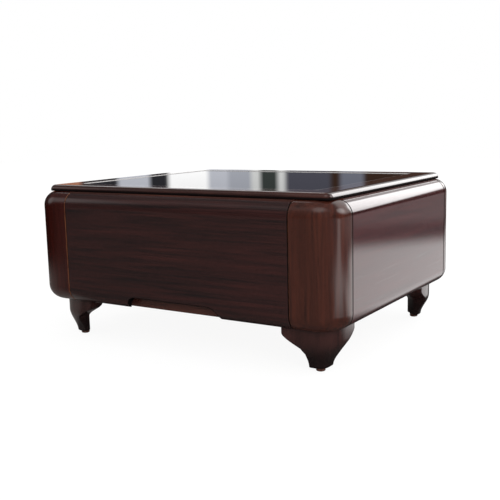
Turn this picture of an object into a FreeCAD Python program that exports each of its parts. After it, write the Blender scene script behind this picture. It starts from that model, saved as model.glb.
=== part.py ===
import FreeCAD, Part
import Sketcher
import math
import os
from types import SimpleNamespace

# Low table with a glass top and a drawer in each long face. Millimetres, +Z up, the origin on the
# floor under the middle of the table, the front drawer facing -Y.

SIZES = {
    # whole table
    "width": 900,
    "depth": 750,
    "glide_height": 9,
    "foot_height": 96,
    "post_height": 291,
    # top frame and glass
    "top_thick": 16,
    "top_inset": 30.5,
    "frame_band": 62,
    "frame_corner": 17,
    "frame_edge": 13,
    "frame_under_edge": 2,
    "glass_thick": 5,
    "glass_ledge": 11,
    "glass_gap": 1,
    "glass_corner": 12,
    "pad_thick": 1,
    "pad_diameter": 8,
    "backing_thick": 9,
    "backing_gap": 0.5,
    "spline_thick": 3,
    "spline_width": 24,
    "spline_length": 40,
    # carcass
    "post_front": 117,
    "post_side": 78,
    "post_corner": 73,
    "edge_round": 38,
    "eased_edge": 1.2,
    "panel_thick": 22,
    "panel_gap": 1.5,
    "rail_thick": 20,
    "top_rail_width": 100,
    "bottom_rail_setback": 35,
    "bottom_rail_height": 45,
    "bottom_thick": 8,
    "bottom_gap": 0.5,
    "cleat_width": 40,
    "partition_thick": 18,
    "batten_thick": 18,
    "batten_height": 80,
    "block_width": 58,
    "block_depth": 62,
    # feet
    "foot_inset": 33,
    "foot_width_x": 125,
    "foot_width_y": 126,
    "foot_corner": 80,
    "foot_chamfer": 80,
    "toe_inset": 64,
    "toe_width_x": 40,
    "toe_width_y": 46,
    "toe_corner": 22,
    "toe_chamfer": 28,
    "glide_diameter": 22,
    "nail_diameter": 3,
    "nail_length": 25,
    "nail_recess": 3,
    # drawers
    "front_gap": 1.5,
    "bumper_gap": 2,
    "bumper_diameter": 10,
    "bumper_play": 0.3,
    "pull_width": 278,
    "pull_height": 30,
    "box_wall": 12,
    "box_headroom": 16.5,
    "box_clearance": 24,
    "box_lift": 8,
    "drawer_bottom_thick": 6,
    "groove_depth": 6,
    "groove_lift": 10,
    "groove_play": 0.2,
    # telescopic slides
    "slide_space": 13,
    "slide_height": 45,
    "slide_front": 6,
    "slide_short": 20,
    "slide_held": 20,
    "slide_wall": 1.2,
    "cabinet_lip": 10,
    "middle_lip": 8.3,
    "drawer_lip": 7.5,
    "web_gap": 2,
    "ball_diameter": 3.4,
    "ball_play": 0.1,
    "cage_thick": 0.6,
    "cage_width": 5,
    "cage_play": 0.2,
    # fixings
    "dowel_diameter": 8,
    "dowel_length": 40,
    "screw_diameter": 4,
    "screw_length": 30,
    "screw_head": 8,
    "screw_head_height": 2.5,
    "slide_screw_diameter": 3.5,
    "slide_screw_length": 10,
    "slide_screw_head": 7,
    "slide_screw_head_height": 1.5,
    "bolt_diameter": 8,
    "bolt_length": 60,
    "fixing_play": 0.05,
}
BALLS_IN_ROW = 5
# Shares of a piece's length, or of its half length from the middle, at which fixings stand.
RAIL_DOWEL_SHARES = (0.25, 0.75)
PANEL_DOWEL_SHARES = (0.2, 0.5, 0.8)
TOP_SCREW_SHARES = (-0.75, 0, 0.75)
BOARD_SCREW_SHARES = (-0.65, 0.65)
CLEAT_SCREW_SHARE = 0.75
FRONT_SCREW_SHARES = (-0.75, -0.4, 0.4, 0.75)
FRONT_SCREW_HEIGHT_SHARE = 0.7
BOX_SCREW_SHARES = (0.25, 0.85)
SLIDE_SCREW_SHARES = (0.08, 0.48, 0.92)
PAD_SHARES = (-0.6, 0.6)
BUMPER_SHARE = 0.9
# The glide stands a little outside the middle of the toe's depth, clear of the chamfer.
GLIDE_SHARE = 0.45
# Shares of the foot's height, from its top, between which the outer face and the inner ends curve in.
OUTER_CURVE = (0.33, 1.0)
INNER_CURVE = (0.13, 0.58)
FOOT_LEVELS = (0.0, 0.07, 0.13, 0.2, 0.27, 0.355, 0.44, 0.51, 0.58, 0.7, 0.85, 1.0)
TINY = 0.01

doc = FreeCAD.newDocument("table")
sheet = doc.addObject("Spreadsheet::Sheet", "Sizes")
for row, (name, number) in enumerate(SIZES.items(), 1):
    sheet.set(f"A{row}", name)
    sheet.set(f"B{row}", str(number))
    sheet.setAlias(f"B{row}", name)
doc.recompute()


class Length:
    """A size that carries its number and its expression on the sheet."""

    def __init__(self, text, number):
        self.text = text
        self.number = number

    @staticmethod
    def of(value):
        return value if isinstance(value, Length) else Length(repr(float(value)), float(value))

    def __add__(self, other):
        other = Length.of(other)
        return Length(f"({self.text} + {other.text})", self.number + other.number)

    def __sub__(self, other):
        other = Length.of(other)
        return Length(f"({self.text} - {other.text})", self.number - other.number)

    def __mul__(self, factor):
        factor = Length.of(factor)
        return Length(f"({self.text} * {factor.text})", self.number * factor.number)

    def __truediv__(self, divisor):
        return Length(f"({self.text} / {float(divisor)!r})", self.number / divisor)

    def __neg__(self):
        return Length(f"(0 - {self.text})", -self.number)

    def root(self):
        return Length(f"sqrt({self.text})", math.sqrt(self.number))


size = SimpleNamespace(**{name: Length(f"Sizes.{name}", number) for name, number in SIZES.items()})
nodes = []


# Ways of making a piece

def node(piece, label):
    """Make a piece one of the table's named nodes."""
    piece.Label = label
    nodes.append(piece)
    return piece


def place(piece, x, y, z, rotation=None):
    for axis, where in zip("xyz", (x, y, z)):
        piece.setExpression(f"Placement.Base.{axis}", Length.of(where).text)
    if rotation:
        piece.Placement.Rotation = rotation


def board(name, x, y, z):
    """A rectangular board between two places along each axis."""
    piece = doc.addObject("Part::Box", name)
    for side, (low, high) in zip(("Length", "Width", "Height"), (x, y, z)):
        piece.setExpression(side, (high - low).text)
    place(piece, x[0], y[0], z[0])
    return piece


def both(reach):
    """The two places at the same distance from the middle."""
    return (-reach, reach)


def sketch_on(body, role, corners, radii, offset=None):
    """A closed outline through corners, anticlockwise. radii: the radius of the side after a corner."""
    sketch = body.newObject("Sketcher::SketchObject", "outline")
    plane = next(item for item in body.Origin.OriginFeatures if item.Role == role)
    sketch.AttachmentSupport = [(plane, "")]
    sketch.MapMode = "FlatFace"
    if offset:
        sketch.setExpression("AttachmentOffset.Base.z", offset.text)
    points = [FreeCAD.Vector(across.number, up.number, 0) for across, up in corners]
    last = len(corners) - 1
    for index, start in enumerate(points):
        end = points[0 if index == last else index + 1]
        if index in radii:
            chord = end - start
            reach = math.sqrt(radii[index].number ** 2 - chord.Length ** 2 / 4)
            inward = FreeCAD.Vector(-chord.y, chord.x, 0).normalize()
            centre = start + chord / 2 + inward * reach
            circle = Part.Circle(centre, FreeCAD.Vector(0, 0, 1), radii[index].number)
            turns = [math.atan2(point.y - centre.y, point.x - centre.x) for point in (start, end)]
            sketch.addGeometry(Part.ArcOfCircle(circle, *turns))
        else:
            sketch.addGeometry(Part.LineSegment(start, end))
    for index in range(len(corners)):
        sketch.addConstraint(Sketcher.Constraint("Coincident", index, 1, (index - 1) % len(corners), 2))
        for kind, place_of in zip(("DistanceX", "DistanceY"), corners[index]):
            rule = sketch.addConstraint(Sketcher.Constraint(kind, -1, 1, index, 1, place_of.number))
            sketch.setExpression(f"Constraints[{rule}]", place_of.text)
        if index in radii:
            rule = sketch.addConstraint(Sketcher.Constraint("Radius", index, radii[index].number))
            sketch.setExpression(f"Constraints[{rule}]", radii[index].text)
    return sketch


def body_of(name, role, corners, length, radii=None, offset=None):
    """A body with one outline padded: from its plane, or to both sides of it where offset is None."""
    body = doc.addObject("PartDesign::Body", name)
    pad = body.newObject("PartDesign::Pad", "pad")
    pad.Profile = sketch_on(body, role, corners, radii or {}, offset)
    pad.setExpression("Length", length.text)
    pad.SideType = "One side" if offset else "Symmetric"
    body.Tip = pad
    return body


def pocket(body, role, corners, radii, offset=None, deep=None):
    """Cut an outline out of a body: right through, or down from offset by deep."""
    doc.recompute()
    before = body.Shape.Volume
    cut = body.newObject("PartDesign::Pocket", "pocket")
    cut.Profile = sketch_on(body, role, corners, radii, offset)
    if deep:
        cut.setExpression("Length", deep.text)
    else:
        cut.Type = "ThroughAll"
        cut.SideType = "Symmetric"
    body.Tip = cut
    doc.recompute()
    assert body.Shape.Volume < before - TINY, f"{body.Name}: the pocket cut nothing"


def fillet(body, radius, chosen):
    """Round the edges whose middle point passes the test, given that point and the body's box."""
    doc.recompute()
    base = body.Tip
    box = base.Shape.BoundBox
    names = []
    for number, edge in enumerate(base.Shape.Edges, 1):
        middle = edge.discretize(Number=3)[1]
        if chosen(middle, box):
            names.append(f"Edge{number}")
    rounding = body.newObject("PartDesign::Fillet", "rounding")
    rounding.Base = (base, names)
    rounding.setExpression("Radius", radius.text)
    body.Tip = rounding


def rectangle(x, y):
    return [(x[0], y[0]), (x[1], y[0]), (x[1], y[1]), (x[0], y[1])]


def slab(name, reach_x, reach_y, low, thick, corner):
    """A flat plate with round corners, lying level."""
    body = body_of(name, "XY_Plane", rectangle(both(reach_x), both(reach_y)), thick, offset=low)
    fillet(body, corner, upright_corner)
    return body


def upright_corner(point, box):
    return abs(abs(point.x) - box.XMax) < TINY and abs(abs(point.y) - box.YMax) < TINY


def rounded_outline(x, y, corner):
    """Corners and radii of a rectangle with round corners."""
    (left, right), (low, high) = x, y
    corners = [
        (left + corner, low), (right - corner, low), (right, low + corner), (right, high - corner),
        (right - corner, high), (left + corner, high), (left, high - corner), (left, low + corner),
    ]
    return corners, {index: corner for index in (1, 3, 5, 7)}


def mirrored(source, name, axis):
    piece = doc.addObject("Part::Mirroring", name)
    piece.Source = source
    piece.Normal = {"x": (1, 0, 0), "y": (0, 1, 0)}[axis]
    return piece


def group(name, pieces):
    compound = doc.addObject("Part::Compound", name)
    compound.Links = pieces
    return compound


def cut(name, base, tool):
    piece = doc.addObject("Part::Cut", name)
    piece.Base = base
    piece.Tool = tool
    return piece


def rod(name, diameter, length, start=None):
    """A round rod along +Z from start, or centred on the origin."""
    piece = doc.addObject("Part::Cylinder", name)
    piece.setExpression("Radius", (diameter / 2).text)
    piece.setExpression("Height", length.text)
    place(piece, 0, 0, -(length / 2) if start is None else start)
    return piece


TURNS = {
    "+x": FreeCAD.Rotation(FreeCAD.Vector(0, 1, 0), 90),
    "-x": FreeCAD.Rotation(FreeCAD.Vector(0, 1, 0), -90),
    "+y": FreeCAD.Rotation(FreeCAD.Vector(1, 0, 0), -90),
    "-y": FreeCAD.Rotation(FreeCAD.Vector(1, 0, 0), 90),
    "+z": FreeCAD.Rotation(),
    "-z": FreeCAD.Rotation(FreeCAD.Vector(1, 0, 0), 180),
}


def copies(source, places):
    """Copies of one piece at (x, y, z, direction), its own +Z turned to the direction."""
    links = []
    for x, y, z, direction in places:
        link = doc.addObject("App::Link", f"{source.Name}_copy")
        link.LinkedObject = source
        link.LinkTransform = False
        place(link, x, y, z, TURNS[direction])
        links.append(link)
    return links


def screw(name, diameter, length, head, head_height):
    """A round-headed screw with its seat at the origin, its shank along +Z, and the hole it needs."""
    shank = rod(f"{name}_shank", diameter, length, Length.of(0))
    cap = rod(f"{name}_cap", head, head_height, -head_height)
    whole = doc.addObject("Part::MultiFuse", name)
    whole.Shapes = [shank, cap]
    hole = rod(f"{name}_hole", diameter + size.fixing_play * 2, length + size.fixing_play, Length.of(0))
    return whole, group(f"{name}_bore", [hole])


def pin(name, diameter, length):
    """A plain pin centred on the origin along Z, and the hole it needs."""
    hole = rod(f"{name}_hole", diameter + size.fixing_play * 2, length + size.fixing_play * 2)
    return group(name, [rod(f"{name}_rod", diameter, length)]), group(f"{name}_bore", [hole])


# Heights and places that several pieces share

half_width = size.width / 2
half_depth = size.depth / 2
foot_top = size.glide_height + size.foot_height
post_top = foot_top + size.post_height
table_top = post_top + size.top_thick
post_in_x = half_width - size.post_front
post_in_y = half_depth - size.post_side
panel_in_x = half_width - size.panel_thick
front_in_y = half_depth - size.panel_thick

# A panel's round edge stops short of the full quarter, at the panel's inner face.
edge_short = size.edge_round - (
    size.edge_round * size.edge_round
    - (size.edge_round - size.panel_thick) * (size.edge_round - size.panel_thick)
).root()
panel_low = foot_top + edge_short
panel_high = post_top - edge_short
bottom_low = panel_low + size.bottom_rail_height
bottom_high = bottom_low + size.bottom_thick
box_low = bottom_high + size.box_lift
box_high = post_top - size.rail_thick - size.box_headroom
box_height = box_high - box_low
slide_mid = (box_low + box_high) / 2
box_x = post_in_x - size.slide_space
box_length = front_in_y - size.partition_thick / 2 - size.box_clearance
slide_length = box_length - size.slide_short
slide_travel = slide_length - size.slide_held
frame_x = half_width - size.top_inset
frame_y = half_depth - size.top_inset
opening_x = frame_x - size.frame_band
opening_y = frame_y - size.frame_band
ledge_x = opening_x - size.glass_ledge
ledge_y = opening_y - size.glass_ledge
glass_low = table_top - size.glass_thick
ledge_high = glass_low - size.pad_thick


# Wooden pieces before drilling

def top_frame_blank():
    """The whole frame in one: round outer edge, a rebate for the glass, and the opening inside it."""
    blank = slab("frame_blank", frame_x, frame_y, post_top, size.top_thick, size.frame_corner)
    fillet(blank, size.frame_edge, lambda point, box: abs(point.z - box.ZMax) < TINY)
    fillet(blank, size.frame_under_edge, lambda point, box: abs(point.z - box.ZMin) < TINY)
    rebate = rounded_outline(both(opening_x), both(opening_y), size.glass_corner + size.glass_gap)
    pocket(blank, "XY_Plane", *rebate, offset=table_top, deep=table_top - ledge_high)
    pocket(blank, "XY_Plane", rectangle(both(ledge_x), both(ledge_y)), {})
    return blank


def mitre_wedge(name, reach, side_reach, turn):
    """The space of one frame member: long outside, shorter inside, its ends cut at 45 degrees."""
    wide = size.frame_band + size.glass_ledge
    wedge = doc.addObject("Part::Wedge", name)
    sides = {
        "Xmin": -reach, "Xmax": reach, "X2min": wide - reach, "X2max": reach - wide,
        "Ymin": -side_reach, "Ymax": wide - side_reach,
        "Zmin": post_top, "Zmax": table_top, "Z2min": post_top, "Z2max": table_top,
    }
    for side, where in sides.items():
        wedge.setExpression(side, where.text)
    wedge.Placement.Rotation = FreeCAD.Rotation(FreeCAD.Vector(0, 0, 1), turn)
    return wedge


def corner_post():
    """The front right post: a solid block with a round upright corner and round outer edges."""
    corners = [
        (post_in_x, -half_depth),
        (half_width - size.post_corner, -half_depth),
        (half_width, size.post_corner - half_depth),
        (half_width, -post_in_y),
        (post_in_x, -post_in_y),
    ]
    post = body_of("post", "XY_Plane", corners, size.post_height, {1: size.post_corner}, foot_top)

    def outer_end(point, box):
        at_end = min(abs(point.z - box.ZMax), abs(point.z - box.ZMin)) < TINY
        return at_end and point.x > box.XMin + TINY and point.y < box.YMax - TINY

    fillet(post, size.edge_round, outer_end)

    def seam(point, box):
        rim = size.edge_round.number - TINY
        on_front_seam = abs(point.x - box.XMin) < TINY and point.y < box.YMin + rim
        on_side_seam = abs(point.y - box.YMax) < TINY and point.x > box.XMax - rim
        return on_front_seam or on_side_seam

    fillet(post, size.eased_edge, seam)
    return post


def face_profile(face, sign):
    """The section of a panel with round outer edges; face is its outer place, sign the way out."""
    inner = face - size.panel_thick * sign
    corners = [
        (inner, panel_low), (face, foot_top + size.edge_round),
        (face, post_top - size.edge_round), (inner, panel_high),
    ]
    if sign > 0:
        return corners, {0: size.edge_round, 2: size.edge_round}
    return [corners[0], corners[3], corners[2], corners[1]], {1: size.edge_round, 3: size.edge_round}


def side_panel():
    """The right side panel, a shadow gap short of the posts, its end edges eased."""
    corners, radii = face_profile(half_width, 1)
    panel = body_of("panel", "XZ_Plane", corners, (post_in_y - size.panel_gap) * 2, radii)
    inner = panel_in_x.number

    def end_rim(point, box):
        return abs(abs(point.y) - box.YMax) < TINY and point.x > inner + TINY

    fillet(panel, size.eased_edge, end_rim)
    return panel


def drawer_front():
    """The front drawer's front: the panels' section turned to face -Y, with a finger pull cut below."""
    corners, radii = face_profile(-half_depth, -1)
    front = body_of("drawer_front", "YZ_Plane", corners, (post_in_x - size.front_gap) * 2, radii)
    inner = -front_in_y.number

    def end_rim(point, box):
        return abs(abs(point.x) - box.XMax) < TINY and point.y < inner - TINY

    fillet(front, size.eased_edge, end_rim)
    # The pull's ends are quarter rounds as high as the pull itself.
    reach = size.pull_width / 2
    corner = size.pull_height
    top = panel_low + size.pull_height
    corners = [
        (-reach, foot_top), (reach, foot_top), (reach, panel_low),
        (reach - corner, top), (corner - reach, top), (-reach, panel_low),
    ]
    pocket(front, "XZ_Plane", corners, {2: corner, 4: corner})
    return front


def smooth_step(share, span):
    part = min(max((share - span[0]) / (span[1] - span[0]), 0.0), 1.0)
    return part * part * (3 - 2 * part)


def bracket_foot():
    """The front right foot: level outlines from its broad top to its toe, joined smoothly."""
    body = doc.addObject("PartDesign::Body", "foot")
    outlines = []
    for share in FOOT_LEVELS:
        outer = smooth_step(share, OUTER_CURVE)
        inner = smooth_step(share, INNER_CURVE)
        inset = size.foot_inset * (1 - outer) + size.toe_inset * outer
        corner = size.foot_corner * (1 - outer) + size.toe_corner * outer
        chamfer = size.foot_chamfer * (1 - inner) + size.toe_chamfer * inner
        top_x = size.foot_inset + size.foot_width_x
        top_y = size.foot_inset + size.foot_width_y
        toe_x = size.toe_inset + size.toe_width_x
        toe_y = size.toe_inset + size.toe_width_y
        right = half_width - inset
        left = half_width - (top_x * (1 - inner) + toe_x * inner)
        front = inset - half_depth
        back = top_y * (1 - inner) + toe_y * inner - half_depth
        corners = [
            (left, front), (right - corner, front), (right, front + corner),
            (right, back), (left + chamfer, back), (left, back - chamfer),
        ]
        level = foot_top - size.foot_height * share
        outlines.append(sketch_on(body, "XY_Plane", corners, {1: corner}, level))
    doc.recompute()
    loft = body.newObject("PartDesign::AdditiveLoft", "loft")
    loft.Profile = outlines[0]
    loft.Sections = outlines[1:]
    body.Tip = loft
    return body


def bottom_board():
    """The dust board: it lies on the bottom rails and cleats, notched round the posts."""
    wide = panel_in_x - size.bottom_gap
    narrow = post_in_x - size.bottom_gap
    long = half_depth - size.bottom_rail_setback
    short = post_in_y - size.bottom_gap
    corners = [
        (-narrow, -long), (narrow, -long), (narrow, -short), (wide, -short), (wide, short), (narrow, short),
        (narrow, long), (-narrow, long), (-narrow, short), (-wide, short), (-wide, -short), (-narrow, -short),
    ]
    return body_of("bottom_blank", "XY_Plane", corners, size.bottom_thick, offset=bottom_low)


# Fixings: where each one goes, and the holes they need

def dowel_places():
    """Dowels at the four posts: rails, slide battens and side panels."""
    rail_out = front_in_y - size.bumper_gap
    rail_rest = rail_out - post_in_y
    low_rail = half_depth - size.bottom_rail_setback - size.rail_thick / 2
    for side in (1, -1):
        for end in (1, -1):
            for share in RAIL_DOWEL_SHARES:
                across = (post_in_y + rail_rest * share) * end
                yield post_in_x * side, across, post_top - size.rail_thick / 2, "+x"
                up = panel_low + size.bottom_rail_height * share
                yield post_in_x * side, low_rail * end, up, "+x"
                up = slide_mid + size.batten_height * (share - 0.5)
                yield (post_in_x + size.batten_thick / 2) * side, post_in_y * end, up, "+y"
            for share in PANEL_DOWEL_SHARES:
                up = panel_low + (panel_high - panel_low) * share
                yield (half_width - size.panel_thick / 2) * side, post_in_y * end, up, "+y"


def carcass_screw_places():
    """Screws up into the top frame, and down through the dust board into the bottom rails."""
    under = post_top - size.rail_thick
    for end in (1, -1):
        for share in TOP_SCREW_SHARES:
            yield post_in_x * share, (frame_y - size.frame_band / 2) * end, under, "+z"
        for share in BOARD_SCREW_SHARES:
            across = half_depth - size.bottom_rail_setback - size.rail_thick / 2
            yield post_in_x * share, across * end, bottom_high, "-z"
            yield (panel_in_x - size.cleat_width * CLEAT_SCREW_SHARE) * end, post_in_y * share, under, "+z"


def cabinet_slide_screw_places():
    start = size.slide_front - front_in_y
    for side, direction in ((1, "+x"), (-1, "-x")):
        for share in SLIDE_SCREW_SHARES:
            along = start + slide_length * share
            yield (post_in_x - size.slide_wall) * side, along, slide_mid, direction
            yield (post_in_x - size.slide_wall) * side, -along, slide_mid, direction


def bolt_places():
    """Two hanger bolts to a foot: one up into the post, one up into the corner block."""
    post_x = half_width - (size.edge_round + size.post_front) / 2
    post_y = half_depth - (size.edge_round + size.post_side) / 2
    block_x = panel_in_x - size.cleat_width - size.block_width / 2
    block_y = post_in_y - size.block_depth / 2
    for side in (1, -1):
        for end in (1, -1):
            yield post_x * side, post_y * end, foot_top, "+z"
            yield block_x * side, block_y * end, foot_top, "+z"


def glide_places(up):
    along_x = half_width - size.toe_inset - size.toe_width_x / 2
    along_y = half_depth - size.toe_inset - size.toe_width_y * GLIDE_SHARE
    for side in (1, -1):
        for end in (1, -1):
            yield along_x * side, along_y * end, up, "+z"


def drawer_screw_places():
    """Screws from the inner front into the drawer front, and through the sides at the box's corners."""
    start = size.box_wall - front_in_y
    for share in FRONT_SCREW_SHARES:
        yield box_x * share, start, box_low + box_height * FRONT_SCREW_HEIGHT_SHARE, "-y"
    for side, direction in ((1, "-x"), (-1, "+x")):
        for end in (size.box_wall / 2, box_length - size.box_wall / 2):
            for share in BOX_SCREW_SHARES:
                yield box_x * side, end - front_in_y, box_low + box_height * share, direction


def drawer_slide_screw_places():
    start = size.slide_front - front_in_y
    for side, direction in ((1, "-x"), (-1, "+x")):
        for share in SLIDE_SCREW_SHARES:
            along = start + slide_length * share
            yield (box_x + size.slide_wall) * side, along, slide_mid, direction


dowel, dowel_bore = pin("dowel", size.dowel_diameter, size.dowel_length)
bolt, bolt_bore = pin("bolt", size.bolt_diameter, size.bolt_length)
nail, nail_bore = pin("nail", size.nail_diameter, size.nail_length)
wood_screw, wood_screw_bore = screw(
    "wood_screw", size.screw_diameter, size.screw_length, size.screw_head, size.screw_head_height
)
slide_screw, slide_screw_bore = screw(
    "slide_screw", size.slide_screw_diameter, size.slide_screw_length,
    size.slide_screw_head, size.slide_screw_head_height,
)
nail_mid = size.nail_recess + size.nail_length / 2
carcass_bores = group("carcass_bores", [
    *copies(dowel_bore, dowel_places()),
    *copies(wood_screw_bore, carcass_screw_places()),
    *copies(slide_screw_bore, cabinet_slide_screw_places()),
    *copies(bolt_bore, bolt_places()),
    *copies(nail_bore, glide_places(nail_mid)),
])
drawer_bores = group("drawer_bores", [
    *copies(wood_screw_bore, drawer_screw_places()),
    *copies(slide_screw_bore, drawer_slide_screw_places()),
])


# Top: mitred frame, glass, pads and backing board

spline_up = post_top + (ledge_high - post_top) / 2
spline_in = (size.frame_band + size.glass_ledge) / 2


def spline_group(name, play):
    """One flat key across each mitre; with play, the slots that they lie in."""
    pieces = []
    for side in (1, -1):
        for end in (1, -1):
            reach = (size.spline_length + play) / 2
            wide = (size.spline_width + play) / 2
            flat = rectangle(both(reach), both(wide))
            key = body_of(f"{name}_key", "XY_Plane", flat, size.spline_thick + play)
            turn = FreeCAD.Rotation(FreeCAD.Vector(0, 0, 1), 45 * side * end)
            place(key, (frame_x - spline_in) * side, (frame_y - spline_in) * end, spline_up, turn)
            pieces.append(key)
    return group(name, pieces)


spline_slots = spline_group("spline_slots", size.fixing_play * 2)
frame_cuts = group("frame_cuts", [spline_slots, carcass_bores])
frame_drilled = cut("frame_drilled", top_frame_blank(), frame_cuts)
members = (
    ("top_frame_front_rail", frame_x, frame_y, 0),
    ("top_frame_right_stile", frame_y, frame_x, 90),
    ("top_frame_back_rail", frame_x, frame_y, 180),
    ("top_frame_left_stile", frame_y, frame_x, 270),
)
for label, reach, side_reach, turn in members:
    member = doc.addObject("Part::Common", label)
    member.Base = frame_drilled
    member.Tool = mitre_wedge(f"{label}_space", reach, side_reach, turn)
    node(member, label)
node(spline_group("mitre_splines", Length.of(0)), "mitre_splines")

glass_x = opening_x - size.glass_gap
glass_y = opening_y - size.glass_gap
node(slab("glass", glass_x, glass_y, glass_low, size.glass_thick, size.glass_corner), "glass_panel")
backing_reach = (both(ledge_x - size.backing_gap), both(ledge_y - size.backing_gap))
backing = board("backing", *backing_reach, (post_top, post_top + size.backing_thick))
node(backing, "glass_backing_board")

pad = group("pad", [rod("pad_disc", size.pad_diameter, size.pad_thick, Length.of(0))])
pad_x = opening_x - size.glass_ledge / 2
pad_y = opening_y - size.glass_ledge / 2
pad_places = []
for side in (1, -1):
    for share in PAD_SHARES:
        pad_places.append((pad_x * side, pad_y * share, ledge_high, "+z"))
        pad_places.append((pad_x * share, pad_y * side, ledge_high, "+z"))
node(group("pads", copies(pad, pad_places)), "glass_pads")


# Carcass: posts, panels, rails, cleats, boards and corner blocks

post = node(cut("front_right", corner_post(), carcass_bores), "front_right_post")
left_post = node(mirrored(post, "front_left", "x"), "front_left_post")
node(mirrored(post, "back_right", "y"), "back_right_post")
node(mirrored(left_post, "back_left", "y"), "back_left_post")

right_panel = node(cut("right_panel", side_panel(), carcass_bores), "right_side_panel")
node(mirrored(right_panel, "left_panel", "x"), "left_side_panel")

rail_front = size.bumper_gap - front_in_y
top_rail = board(
    "top_rail", both(post_in_x), (rail_front, rail_front + size.top_rail_width),
    (post_top - size.rail_thick, post_top),
)
front_top_rail = node(cut("top_rail_drilled", top_rail, carcass_bores), "front_top_rail")
node(mirrored(front_top_rail, "top_rail_back", "y"), "back_top_rail")

low_front = size.bottom_rail_setback - half_depth
bottom_rail = board(
    "bottom_rail", both(post_in_x), (low_front, low_front + size.rail_thick), (panel_low, bottom_low)
)
front_bottom_rail = node(cut("bottom_rail_drilled", bottom_rail, carcass_bores), "front_bottom_rail")
node(mirrored(front_bottom_rail, "bottom_rail_back", "y"), "back_bottom_rail")

cleat_x = (panel_in_x - size.cleat_width, panel_in_x)
top_cleat = board("top_cleat", cleat_x, both(post_in_y), (post_top - size.rail_thick, post_top))
top_cleat = cut("top_cleat_drilled", top_cleat, carcass_bores)
node(group("top_cleat_pair", [top_cleat, mirrored(top_cleat, "top_cleat_left", "x")]), "top_cleats")
bottom_cleat = board("bottom_cleat", cleat_x, both(post_in_y), (bottom_low - size.rail_thick, bottom_low))
bottom_pair = [bottom_cleat, mirrored(bottom_cleat, "bottom_cleat_left", "x")]
node(group("bottom_cleat_pair", bottom_pair), "bottom_cleats")

node(cut("bottom_drilled", bottom_board(), carcass_bores), "bottom_board")
half_partition = size.partition_thick / 2
partition = board("partition", both(post_in_x), both(half_partition), (bottom_high, post_top))
node(partition, "centre_partition")

batten_z = (slide_mid - size.batten_height / 2, slide_mid + size.batten_height / 2)
batten = board("batten", (post_in_x, post_in_x + size.batten_thick), both(post_in_y), batten_z)
right_batten = node(cut("batten_drilled", batten, carcass_bores), "right_slide_batten")
node(mirrored(right_batten, "batten_left", "x"), "left_slide_batten")

block = board(
    "block", (cleat_x[0] - size.block_width, cleat_x[0]),
    (-post_in_y, size.block_depth - post_in_y), (foot_top, bottom_low),
)
block = cut("block_drilled", block, carcass_bores)
left_block = mirrored(block, "block_left", "x")
far_blocks = [mirrored(block, "block_back", "y"), mirrored(left_block, "block_back_left", "y")]
node(group("blocks", [block, left_block, *far_blocks]), "corner_blocks")

node(group("dowels", copies(dowel, dowel_places())), "carcass_dowels")
carcass_screws = [
    *copies(wood_screw, carcass_screw_places()),
    *copies(slide_screw, cabinet_slide_screw_places()),
]
node(group("screws", carcass_screws), "carcass_screws")


# Feet, their bolts and glides

foot = node(cut("foot_drilled", bracket_foot(), carcass_bores), "front_right_foot")
left_foot = node(mirrored(foot, "foot_left", "x"), "front_left_foot")
node(mirrored(foot, "foot_back", "y"), "back_right_foot")
node(mirrored(left_foot, "foot_back_left", "y"), "back_left_foot")
node(group("bolts", copies(bolt, bolt_places())), "foot_bolts")

glide_disc = group("glide", [rod("glide_disc", size.glide_diameter, size.glide_height, Length.of(0))])
glide_group = group("glide_blanks", copies(glide_disc, glide_places(Length.of(0))))
node(cut("glide_drilled", glide_group, carcass_bores), "glides")
node(group("nails", copies(nail, glide_places(nail_mid))), "glide_nails")


# Drawers: the front one is made, and the back one is its mirror image

def pair(piece, label, name):
    """A piece of the front drawer, and the same piece of the back drawer."""
    node(piece, f"front_{label}")
    node(mirrored(piece, f"{name}_back", "y"), f"back_{label}")
    return piece


def both_sides(piece, name):
    """A right-hand piece grouped with its mirror image."""
    return group(name, [piece, mirrored(piece, f"{name}_left", "x")])


box_front = -front_in_y
box_back = box_front + box_length
inside_x = box_x - size.box_wall
box_z = (box_low, box_high)
groove_z = (box_low + size.groove_lift, box_low + size.groove_lift + size.drawer_bottom_thick)
groove_x = inside_x + size.groove_depth
groove_y = (box_front + size.box_wall - size.groove_depth, box_back - size.box_wall + size.groove_depth)
groove = board(
    "groove", both(groove_x + size.groove_play),
    (groove_y[0] - size.groove_play, groove_y[1] + size.groove_play),
    (groove_z[0] - size.groove_play, groove_z[1] + size.groove_play),
)
box_cuts = group("box_cuts", [groove, drawer_bores])

pair(cut("front_drilled", drawer_front(), drawer_bores), "drawer_front", "drawer_front")
inner_front = board("inner_front", both(inside_x), (box_front, box_front + size.box_wall), box_z)
pair(cut("inner_front_cut", inner_front, box_cuts), "drawer_inner_front", "inner_front")
box_side = board("box_side", (inside_x, box_x), (box_front, box_back), box_z)
right_side = pair(cut("box_side_cut", box_side, box_cuts), "drawer_right_side", "right_side")
pair(mirrored(right_side, "left_side", "x"), "drawer_left_side", "left_side")
box_end = board("box_end", both(inside_x), (box_back - size.box_wall, box_back), box_z)
pair(cut("box_end_cut", box_end, box_cuts), "drawer_back", "box_end")
pair(board("drawer_bottom", both(groove_x), groove_y, groove_z), "drawer_bottom", "bottom")
drawer_screws = [
    *copies(wood_screw, drawer_screw_places()),
    *copies(slide_screw, drawer_slide_screw_places()),
]
pair(group("drawer_screw_group", drawer_screws), "drawer_screws", "drawer_screws")

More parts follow.
